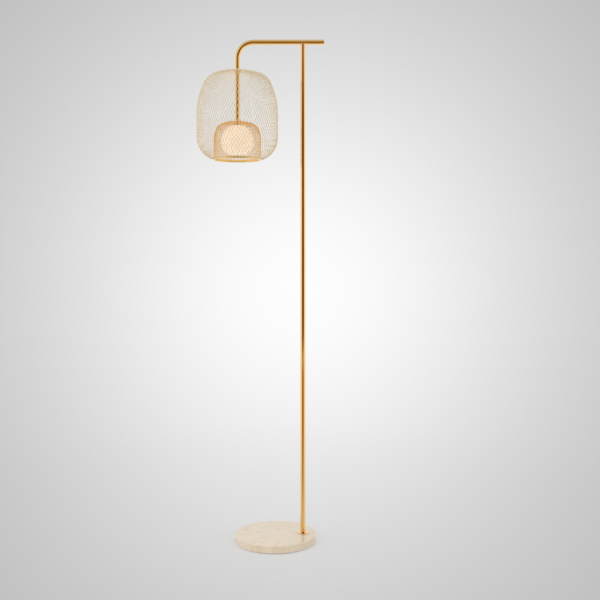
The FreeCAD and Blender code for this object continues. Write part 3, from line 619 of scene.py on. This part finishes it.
# Pole: three equal lengths of brass tube, polished and plated a warm gold under clear lacquer. Turned brass
# inserts and studs screw them together, and a thin plated collar covers the hole in the marble.
GOLD = srgb(252, 213, 143)
GOLD_DEEP = srgb(243, 198, 122)
RAW_BRASS = srgb(196, 170, 110)
RAW_BRASS_DULL = srgb(178, 150, 92)
TUBE_GLOSS = (0.06, 0.12)
RAW_GLOSS = (0.28, 0.42)
LACQUER = 0.6
TUBE_WALL = 0.001
TUBE_TURNS = 64
SEAM_EASE = 0.0002
SEAM_STEPS = 3
COLLAR_ROUNDING = 0.0012
COLLAR_TURNS = 96
POLE_LENGTHS = ("lower", "middle", "upper")

tube_gold = metal_material(
    "gold_tube", GOLD, GOLD_DEEP, TUBE_GLOSS, stretch=(1, 1, 0.06), finest=1400, relief=0.12, coat=LACQUER
)
tube_radius = (pole_high.x - pole_low.x) / 2
arm_low, arm_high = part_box("arm_tube")
arm_height = arm_high.z - tube_radius

for length in POLE_LENGTHS:
    low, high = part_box("pole_" + length)
    inner = tube_radius - TUBE_WALL
    corners = ((inner, low.z), (tube_radius, low.z), (tube_radius, high.z), (inner, high.z))
    top_ease = 0 if length == "upper" else SEAM_EASE
    outline = eased(corners, (0, SEAM_EASE, top_ease, 0), SEAM_STEPS)
    tube = turned_piece("pole_tube_" + length, outline, pole_axis, TUBE_TURNS)
    if length == "upper":
        for corner in tube.data.vertices:
            if corner.co.z > low.z + tube_radius:
                across = min(abs(corner.co.y), tube_radius)
                corner.co.z = arm_height - math.sqrt(tube_radius**2 - across**2)
    stands_for(tube, "pole_" + length, "stand", tube_gold)

collar_low, collar_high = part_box("foot_collar")
collar_radius = (collar_high.x - collar_low.x) / 2
collar_corners = (
    (STUD_HOLE_RADIUS, collar_low.z),
    (collar_radius, collar_low.z),
    (collar_radius, collar_high.z),
    (STUD_HOLE_RADIUS, collar_high.z),
)
collar = turned_piece("foot_rose", eased(collar_corners, (0, 0, COLLAR_ROUNDING, 0)), pole_axis, COLLAR_TURNS)
stands_for(collar, "foot_collar", "stand", tube_gold)

raw_brass = metal_material("raw_brass", RAW_BRASS, RAW_BRASS_DULL, RAW_GLOSS)
for raw in ("foot_insert", "lower_socket", "lower_stud", "upper_socket", "upper_stud"):
    dress(raw, raw_brass)


# Arm: one length of the same tube, bent once on a round former, with a domed plug in its open end.
# A hollow nipple and a saddle nut inside it hold it down on the pole's notched top.
BEND_RADIUS = 0.050
BEND_STEPS = 24
TUBE_SIDES = 48
PLUG_DEPTH = 0.008
PLUG_ROUNDING = 0.0012


def bent_tube_tree():
    """Geometry nodes that bend a tube's skin along a route with rounded corners."""
    tree = bpy.data.node_groups.new("bent_tube", "GeometryNodeTree")
    face = tree.interface
    face.new_socket("Route", in_out="INPUT", socket_type="NodeSocketGeometry")
    face.new_socket("Tube Radius", in_out="INPUT", socket_type="NodeSocketFloat")
    face.new_socket("Bend Radius", in_out="INPUT", socket_type="NodeSocketFloat")
    face.new_socket("Bend Steps", in_out="INPUT", socket_type="NodeSocketInt")
    face.new_socket("Sides", in_out="INPUT", socket_type="NodeSocketInt")
    face.new_socket("Material", in_out="INPUT", socket_type="NodeSocketMaterial")
    face.new_socket("Tube", in_out="OUTPUT", socket_type="NodeSocketGeometry")
    source = node(tree, "NodeGroupInput")
    result = node(tree, "NodeGroupOutput")
    bend = node(tree, "GeometryNodeFilletCurve", mode="POLY")
    section = node(tree, "GeometryNodeCurvePrimitiveCircle")
    skin = node(tree, "GeometryNodeCurveToMesh")
    real = node(tree, "GeometryNodeRealizeInstances")
    dressed = node(tree, "GeometryNodeSetMaterial")
    link = tree.links.new
    link(source.outputs["Route"], bend.inputs["Curve"])
    link(source.outputs["Bend Radius"], bend.inputs["Radius"])
    link(source.outputs["Bend Steps"], bend.inputs["Count"])
    link(source.outputs["Sides"], section.inputs["Resolution"])
    link(source.outputs["Tube Radius"], section.inputs["Radius"])
    link(bend.outputs["Curve"], skin.inputs["Curve"])
    link(section.outputs["Curve"], skin.inputs["Profile Curve"])
    link(skin.outputs["Mesh"], real.inputs["Geometry"])
    link(real.outputs["Geometry"], dressed.inputs["Geometry"])
    link(source.outputs["Material"], dressed.inputs["Material"])
    link(dressed.outputs["Geometry"], result.inputs["Tube"])
    return tree


def grown(name, points, tree, wall=0.0, **settings):
    """Run a node tree on a line through points and return what it makes as a plain mesh object."""
    curve = bpy.data.curves.new(name + "_line", "CURVE")
    curve.dimensions = "3D"
    line = curve.splines.new("POLY")
    line.points.add(len(points) - 1)
    for point, place in zip(line.points, points):
        point.co = (*place, 1)
    holder = into_scene(name + "_line", curve)
    modifier = holder.modifiers.new("grown", "NODES")
    modifier.node_group = tree
    for item in tree.interface.items_tree:
        setting = item.name.replace(" ", "_")
        if item.in_out == "INPUT" and setting in settings:
            modifier[item.identifier] = settings[setting]
    if wall:
        thick = holder.modifiers.new("wall", "SOLIDIFY")
        thick.thickness = wall
        thick.offset = -1
    mesh = bpy.data.meshes.new_from_object(holder.evaluated_get(bpy.context.evaluated_depsgraph_get()))
    mesh.name = name
    bpy.data.objects.remove(holder)
    bpy.data.curves.remove(curve)
    return into_scene(name, mesh)


arm_gold = metal_material(
    "gold_arm", GOLD, GOLD_DEEP, TUBE_GLOSS, stretch=(0.3, 1, 0.3), finest=1200, relief=0.1, coat=LACQUER
)
drop_low, drop_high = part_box("dome_crown")
drop_axis = ((drop_low.x + drop_high.x) / 2, 0)
arm_route = ((arm_high.x, 0, arm_height), (drop_axis[0], 0, arm_height), (drop_axis[0], 0, arm_low.z))
arm = grown(
    "bent_arm",
    arm_route,
    bent_tube_tree(),
    wall=TUBE_WALL,
    Tube_Radius=tube_radius,
    Bend_Radius=BEND_RADIUS,
    Bend_Steps=BEND_STEPS,
    Sides=TUBE_SIDES,
    Material=arm_gold,
)
finished(arm.data)
stands_for(arm, "arm_tube", "stand", arm_gold)

plug_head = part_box("arm_end_cap")[1].x - arm_high.x
plug_inner = tube_radius - TUBE_WALL
plug_corners = (
    (0, -PLUG_DEPTH),
    (plug_inner, -PLUG_DEPTH),
    (plug_inner, 0),
    (tube_radius, 0),
    (tube_radius, plug_head),
    (0, plug_head),
)
plug = turned_piece("arm_plug", eased(plug_corners, (0, 0, 0, 0, PLUG_ROUNDING, 0)), (0, 0), TUBE_TURNS)
plug_place = Matrix.Translation((arm_high.x, 0, arm_height))
plug.data.transform(plug_place @ Matrix.Rotation(math.pi / 2, 4, "Y"))
stands_for(plug, "arm_end_cap", "stand", arm_gold)
dress("tee_insert", raw_brass)
dress("tee_nipple", steel)
dress("tee_saddle_nut", steel)


# Shade fixings: a nipple in the drop's brass insert carries the dome's disc, the cup and its lock nut. The
# cage's hub, a flanged collar, sits round the drop above them, and a grub screw at its rear holds it.
DISC_HOLE = 0.0052
CUP_WALL = 0.0015
THIN_EDGE = 0.0003
HUB_FLANGE = 0.0015
HUB_SLEEVE_RADIUS = 0.011
HUB_BORE = 0.00805
HUB_SCREW_HOLE = 0.00205
SCREW_HOLE_TURNS = 32
RING_GOLD = srgb(255, 220, 144)
RING_GOLD_DEEP = srgb(252, 210, 126)
RING_GLOSS = (0.16, 0.26)
RING_SATIN = 0.5

ring_gold = metal_material(
    "ring_gold", RING_GOLD, RING_GOLD_DEEP, RING_GLOSS, coat=LACQUER, metallic=RING_SATIN
)
dress("drop_insert", raw_brass)
dress("shade_nipple", steel)
dress("cup_nut", steel)
dress("cage_hub_screw", steel)

disc_radius = (drop_high.x - drop_low.x) / 2
disc_corners = (
    (DISC_HOLE, drop_low.z),
    (disc_radius, drop_low.z),
    (disc_radius, drop_high.z),
    (DISC_HOLE, drop_high.z),
)
disc = turned_piece("dome_disc", eased(disc_corners, (0, THIN_EDGE, THIN_EDGE, 0), SEAM_STEPS), drop_axis)
stands_for(disc, "dome_crown", "stand", ring_gold)

cup_low, cup_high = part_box("globe_cup")
cup_radius = (cup_high.x - cup_low.x) / 2
cup_corners = (
    (DISC_HOLE, cup_high.z),
    (cup_radius, cup_high.z),
    (cup_radius, cup_low.z),
    (cup_radius - CUP_WALL, cup_low.z),
    (cup_radius - CUP_WALL, cup_high.z - CUP_WALL),
    (DISC_HOLE, cup_high.z - CUP_WALL),
)
cup_outline = eased(cup_corners, (0, 0, THIN_EDGE, THIN_EDGE, 0, 0), SEAM_STEPS)
cup = turned_piece("spun_cup", cup_outline, drop_axis)
stands_for(cup, "globe_cup", "stand", ring_gold)

hub_low, hub_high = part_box("cage_hub")
hub_radius = (hub_high.x - hub_low.x) / 2
hub_corners = (
    (HUB_BORE, hub_high.z),
    (hub_radius, hub_high.z),
    (hub_radius, hub_high.z - HUB_FLANGE),
    (HUB_SLEEVE_RADIUS, hub_high.z - HUB_FLANGE),
    (HUB_SLEEVE_RADIUS, hub_low.z),
    (HUB_BORE, hub_low.z),
)
hub_outline = eased(hub_corners, (THIN_EDGE, THIN_EDGE, THIN_EDGE, 0, THIN_EDGE, 0), SEAM_STEPS)
hub = turned_piece("hub_collar", hub_outline, drop_axis)
screw_height = (hub_high.z - HUB_FLANGE + hub_low.z) / 2
screw_corners = ((0, 0), (HUB_SCREW_HOLE, 0), (HUB_SCREW_HOLE, hub_radius), (0, hub_radius))
screw_cutter = turned_piece("screw_cutter", screw_corners, (0, 0), SCREW_HOLE_TURNS)
screw_place = Matrix.Translation((drop_axis[0], 0, screw_height))
screw_cutter.data.transform(screw_place @ Matrix.Rotation(-math.pi / 2, 4, "X"))
carved(hub, screw_cutter)
stands_for(hub, "cage_hub", "stand", ring_gold)


# Ring: a solid brass ring with a rounded section, polished and gold plated. The lower rims of the dome
# and the cage are soldered to it, and the globe goes in through it.
RING_THICKNESS = 0.005
RING_TOP_EDGE = 0.0006
RING_FOOT_EDGE = 0.0022
RING_EDGE_STEPS = 7
RING_TURNS = 160

ring_low, ring_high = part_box("shade_ring")
ring_radius = (ring_high.x - ring_low.x) / 2
ring_corners = (
    (ring_radius - RING_THICKNESS, ring_low.z),
    (ring_radius, ring_low.z),
    (ring_radius, ring_high.z),
    (ring_radius - RING_THICKNESS, ring_high.z),
)
ring_edges = (RING_FOOT_EDGE, RING_FOOT_EDGE, RING_TOP_EDGE, RING_TOP_EDGE)
ring_outline = eased(ring_corners, ring_edges, RING_EDGE_STEPS)
ring = turned_piece("polished_ring", ring_outline, drop_axis, RING_TURNS)
stands_for(ring, "shade_ring", "stand", ring_gold)


# Meshes: gold-plated wires laid slantwise both ways and spot-welded where they cross, warm gold on the dome
# and pale champagne on the cage. Each follows a turned outline of arcs from its hub down to the ring.
CAGE_GOLD = srgb(255, 246, 226)
CAGE_GOLD_DEEP = srgb(246, 234, 210)
DOME_GOLD = srgb(255, 206, 112)
DOME_GOLD_DEEP = srgb(248, 192, 96)
CAGE_GLOSS = (0.3, 0.45)
DOME_GLOSS = (0.25, 0.4)
CAGE_SATIN = 0.8
DOME_SATIN = 0.9
CAGE_WIRE = 0.00095
DOME_WIRE = 0.0011
CAGE_WIRES = 86
DOME_WIRES = 46
CAGE_DIAMOND = 0.0205
DOME_DIAMOND = 0.0175
CAGE_SEGMENTS = 61
DOME_SEGMENTS = 49
WIRE_SIDES = 6
CROSSING = 0.4
CAGE_CROWN = (math.radians(3), math.radians(15))
DOME_CROWN = (math.radians(4), math.radians(18))
CAGE_REACH = 0.125
CAGE_SHOULDER = (0.056, math.radians(47))
CAGE_SIDE_RADIUS = 0.230
CAGE_HEM_RADIUS = 0.070
DOME_REACH = 0.07225
DOME_SHOULDER = (0.030, math.radians(46))
DOME_SIDE_RADIUS = 0.100
RING_SEAT = 0.003
ARC_STEPS = 14
SIDE_STEPS = 12


def arc_points(start, heading, radius, turn):
    """Points along an arc that bends down from a heading."""
    points = []
    for step in range(1, ARC_STEPS + 1):
        now = heading + turn * step / ARC_STEPS
        across = start[0] + radius * (math.sin(now) - math.sin(heading))
        height = start[1] + radius * (math.cos(now) - math.cos(heading))
        points.append((across, height))
    return points


def mesh_outline(hub_edge, reach, foot, crown, shoulder, side_radius, hem=None):
    """Chain the crown, shoulder, side, straight and hem of a mesh from its hub to its foot."""
    slope, crown_turn = crown
    shoulder_radius, shoulder_turn = shoulder
    first, second = slope + crown_turn, slope + crown_turn + shoulder_turn
    taken = shoulder_radius * (math.sin(second) - math.sin(first)) + side_radius * (1 - math.sin(second))
    crown_radius = (reach - hub_edge[0] - taken) / (math.sin(first) - math.sin(slope))
    outline = [hub_edge]
    outline += arc_points(outline[-1], slope, crown_radius, crown_turn)
    outline += arc_points(outline[-1], first, shoulder_radius, shoulder_turn)
    outline += arc_points(outline[-1], second, side_radius, math.pi / 2 - second)
    top = outline[-1][1]
    bottom = foot
    if hem:
        hem_radius, hem_end = hem
        hem_turn = math.acos(1 - (reach - hem_end) / hem_radius)
        bottom = foot + hem_radius * math.sin(hem_turn)
    outline += [(reach, top + (bottom - top) * step / SIDE_STEPS) for step in range(1, SIDE_STEPS + 1)]
    if hem:
        outline += arc_points(outline[-1], math.pi / 2, hem_radius, hem_turn)
    return [(radius, 0, height) for radius, height in outline]


def lattice_tree():
    """Geometry nodes that lay wires both ways over the surface that a profile curve turns out."""
    tree = bpy.data.node_groups.new("wire_lattice", "GeometryNodeTree")
    face = tree.interface
    face.new_socket("Profile", in_out="INPUT", socket_type="NodeSocketGeometry")
    face.new_socket("Wires Each Way", in_out="INPUT", socket_type="NodeSocketInt")
    face.new_socket("Diamond Height", in_out="INPUT", socket_type="NodeSocketFloat")
    face.new_socket("Wire Diameter", in_out="INPUT", socket_type="NodeSocketFloat")
    face.new_socket("Crossing Offset", in_out="INPUT", socket_type="NodeSocketFloat")
    face.new_socket("Segments", in_out="INPUT", socket_type="NodeSocketInt")
    face.new_socket("Wire Sides", in_out="INPUT", socket_type="NodeSocketInt")
    face.new_socket("Axis", in_out="INPUT", socket_type="NodeSocketVector")
    face.new_socket("Material", in_out="INPUT", socket_type="NodeSocketMaterial")
    face.new_socket("Lattice", in_out="OUTPUT", socket_type="NodeSocketGeometry")
    source = node(tree, "NodeGroupInput")
    result = node(tree, "NodeGroupOutput")
    link = tree.links.new
    count = source.outputs["Wires Each Way"]
    total = node(tree, "GeometryNodeCurveLength")
    link(source.outputs["Profile"], total.inputs["Curve"])
    line = node(tree, "GeometryNodeCurvePrimitiveLine")
    divided = node(tree, "GeometryNodeResampleCurve")
    link(line.outputs["Curve"], divided.inputs["Curve"])
    link(source.outputs["Segments"], divided.inputs["Count"])
    copies = node(tree, "GeometryNodeDuplicateElements", domain="SPLINE")
    link(divided.outputs["Curve"], copies.inputs["Geometry"])
    link(maths(tree, "MULTIPLY", count, 2), copies.inputs["Amount"])
    number = copies.outputs["Duplicate Index"]
    lay = maths(tree, "SUBTRACT", maths(tree, "MULTIPLY", maths(tree, "MODULO", number, 2), 2), 1)
    start = maths(tree, "DIVIDE", maths(tree, "FLOOR", maths(tree, "DIVIDE", number, 2)), count)
    along = node(tree, "GeometryNodeSplineParameter").outputs["Factor"]
    diamonds = maths(tree, "DIVIDE", total.outputs["Length"], source.outputs["Diamond Height"])
    passed = maths(tree, "MULTIPLY", maths(tree, "MULTIPLY", along, diamonds), lay)
    lean = maths(tree, "DIVIDE", passed, count)
    angle = maths(tree, "MULTIPLY", maths(tree, "ADD", start, lean), 2 * math.pi)
    sample = node(tree, "GeometryNodeSampleCurve", mode="FACTOR")
    link(source.outputs["Profile"], sample.inputs["Curves"])
    link(along, sample.inputs["Factor"])
    tangent = node(tree, "ShaderNodeSeparateXYZ")
    link(sample.outputs["Tangent"], tangent.inputs[0])
    outward = node(tree, "ShaderNodeCombineXYZ")
    link(maths(tree, "MULTIPLY", tangent.outputs["Z"], -1), outward.inputs["X"])
    link(tangent.outputs["X"], outward.inputs["Z"])
    lifted = node(tree, "ShaderNodeVectorMath", operation="SCALE")
    link(outward.outputs[0], lifted.inputs[0])
    link(maths(tree, "MULTIPLY", lay, source.outputs["Crossing Offset"]), lifted.inputs["Scale"])
    beside = node(tree, "ShaderNodeVectorMath", operation="ADD")
    link(sample.outputs["Position"], beside.inputs[0])
    link(lifted.outputs[0], beside.inputs[1])
    around = node(tree, "ShaderNodeVectorRotate", rotation_type="Z_AXIS")
    link(beside.outputs[0], around.inputs["Vector"])
    link(angle, around.inputs["Angle"])
    centred = node(tree, "ShaderNodeVectorMath", operation="ADD")
    link(around.outputs[0], centred.inputs[0])
    link(source.outputs["Axis"], centred.inputs[1])
    laid = node(tree, "GeometryNodeSetPosition")
    link(copies.outputs["Geometry"], laid.inputs["Geometry"])
    link(centred.outputs[0], laid.inputs["Position"])
    section = node(tree, "GeometryNodeCurvePrimitiveCircle")
    link(source.outputs["Wire Sides"], section.inputs["Resolution"])
    link(maths(tree, "DIVIDE", source.outputs["Wire Diameter"], 2), section.inputs["Radius"])
    drawn = node(tree, "GeometryNodeCurveToMesh")
    drawn.inputs["Fill Caps"].default_value = True
    link(laid.outputs["Geometry"], drawn.inputs["Curve"])
    link(section.outputs["Curve"], drawn.inputs["Profile Curve"])
    smooth = node(tree, "GeometryNodeSetShadeSmooth")
    link(drawn.outputs["Mesh"], smooth.inputs["Geometry"])
    real = node(tree, "GeometryNodeRealizeInstances")
    link(smooth.outputs["Geometry"], real.inputs["Geometry"])
    dressed = node(tree, "GeometryNodeSetMaterial")
    link(real.outputs["Geometry"], dressed.inputs["Geometry"])
    link(source.outputs["Material"], dressed.inputs["Material"])
    link(dressed.outputs["Geometry"], result.inputs["Lattice"])
    return tree


def wire_lattice(name, outline, wires, diamond, wire, segments, material, slot_name, *nodes):
    """Lay a lattice of wires over an outline, in place of plain meshes."""
    lattice = grown(
        name,
        outline,
        LATTICE,
        Wires_Each_Way=wires,
        Diamond_Height=diamond,
        Wire_Diameter=wire,
        Crossing_Offset=wire * CROSSING,
        Segments=segments,
        Wire_Sides=WIRE_SIDES,
        Axis=(*drop_axis, 0),
        Material=material,
    )
    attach(lattice, "stand")
    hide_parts(*nodes)


LATTICE = lattice_tree()
cage_gold = metal_material("cage_wire", CAGE_GOLD, CAGE_GOLD_DEEP, CAGE_GLOSS, metallic=CAGE_SATIN)
dome_gold = metal_material("dome_wire", DOME_GOLD, DOME_GOLD_DEEP, DOME_GLOSS, metallic=DOME_SATIN)
dome_outline = mesh_outline(
    (disc_radius, (drop_low.z + drop_high.z) / 2),
    DOME_REACH,
    ring_high.z,
    DOME_CROWN,
    DOME_SHOULDER,
    DOME_SIDE_RADIUS,
)
dome_lay = (DOME_WIRES, DOME_DIAMOND, DOME_WIRE, DOME_SEGMENTS)
wire_lattice("dome_wires", dome_outline, *dome_lay, dome_gold, "dome_wire", "dome_mesh")
cage_outline = mesh_outline(
    (hub_radius, hub_high.z - HUB_FLANGE / 2),
    CAGE_REACH,
    ring_low.z + RING_SEAT,
    CAGE_CROWN,
    CAGE_SHOULDER,
    CAGE_SIDE_RADIUS,
    (CAGE_HEM_RADIUS, ring_radius + CAGE_WIRE / 2),
)
cage_lay = (CAGE_WIRES, CAGE_DIAMOND, CAGE_WIRE, CAGE_SEGMENTS)
cage_panels = ("cage_mesh_right", "cage_mesh_rear", "cage_mesh_left", "cage_mesh_front")
wire_lattice("cage_wires", cage_outline, *cage_lay, cage_gold, "cage_wire", *cage_panels)


# Globe: a ball of blown opal glass with a short neck and a glossy skin, with a glow painted into it for the
# lamp lit inside. Its neck is cemented into a threaded brass collar that screws up into the cup under a
# silicone seal.
OPAL = srgb(250, 243, 232)
OPAL_WARM = srgb(246, 236, 222)
# Painted glow: the glass emits this light itself; the lamp inside does not.
OPAL_GLOW = (1.0, 0.9, 0.72, 1)
OPAL_GLOW_STRENGTH = 0.45
GLASS_WALL = 0.0025
NECK_RADIUS = 0.0142
NECK_WALL = 0.0018
BALL_STEPS = 48
BALL_TURNS = 96
FIRE_POLISH = (0.5, 0.03)
OPAL_GLOSS = (0.14, 0.24)
SILICONE = srgb(222, 222, 216)
SILICONE_SHADE = srgb(208, 208, 202)


def opal_material():
    """Opal glass: milky, faintly cloudy, with a fire-polished skin and a glow painted in for the lamp lit
    inside.
    """
    material, tree = new_material("opal_glass")
    shader = tree.nodes["Principled BSDF"]
    coated(shader, *FIRE_POLISH)
    shader.inputs["Emission Color"].default_value = OPAL_GLOW
    shader.inputs["Emission Strength"].default_value = OPAL_GLOW_STRENGTH
    link = tree.links.new
    cloud = noise(tree, node(tree, "ShaderNodeTexCoord").outputs["Object"], scale=30, detail=3)["Fac"]
    link(blend(tree, cloud, OPAL, OPAL_WARM), shader.inputs["Base Color"])
    link(ranged(tree, cloud, 0, 1, *OPAL_GLOSS), shader.inputs["Roughness"])
    return material


def ball_arc(radius, neck, height):
    """Points up a ball's side from its lowest point to where its neck starts."""
    top = math.acos(neck / radius)
    points = []
    for step in range(BALL_STEPS + 1):
        angle = -math.pi / 2 + (top + math.pi / 2) * step / BALL_STEPS
        points.append((radius * math.cos(angle) if step else 0, height + radius * math.sin(angle)))
    return points


globe_low, globe_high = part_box("opal_globe")
globe_radius = (globe_high.x - globe_low.x) / 2
globe_height = globe_low.z + globe_radius
bore = NECK_RADIUS - NECK_WALL
outer_skin = ball_arc(globe_radius, NECK_RADIUS, globe_height)
inner_skin = ball_arc(globe_radius - GLASS_WALL, bore, globe_height)
lip = [(NECK_RADIUS, globe_high.z), (bore, globe_high.z)]
globe = turned_piece("opal_ball", outer_skin + lip + inner_skin[::-1], drop_axis, BALL_TURNS)
stands_for(globe, "opal_globe", "globe", opal_material())
dress("globe_collar", raw_brass)
dress("globe_seal", grain_material("silicone", SILICONE, SILICONE_SHADE, scale=500, roughness=0.6))


# Lamp and holder: a frosted lamp with a ceramic foot and two steel pins, pushed up into a glazed ceramic
# holder under a plated steel cap that screws on the nipple's end.
GLAZE = srgb(238, 236, 228)
GLAZE_SHADE = srgb(228, 225, 216)
FROSTED = srgb(240, 240, 232)
FROSTED_SHADE = srgb(232, 232, 224)

glaze = grain_material("glazed_ceramic", GLAZE, GLAZE_SHADE, scale=300, roughness=0.18, bump=0.03)
dress("holder_cap", steel)
dress("lamp_holder", glaze)
dress("lamp_base", glaze)
dress("lamp_pins", steel)
dress("lamp_envelope", grain_material("frosted_glass", FROSTED, FROSTED_SHADE, scale=700, roughness=0.5))


# Lead: one round cable with a pale jacket, from the gland up the pole, through the arm and down the drop
# to the holder. All of it lies inside the tubes.
JACKET = srgb(212, 208, 198)
JACKET_SHADE = srgb(200, 196, 186)

dress("inner_lead", grain_material("lead_jacket", JACKET, JACKET_SHADE, scale=400, roughness=0.5))
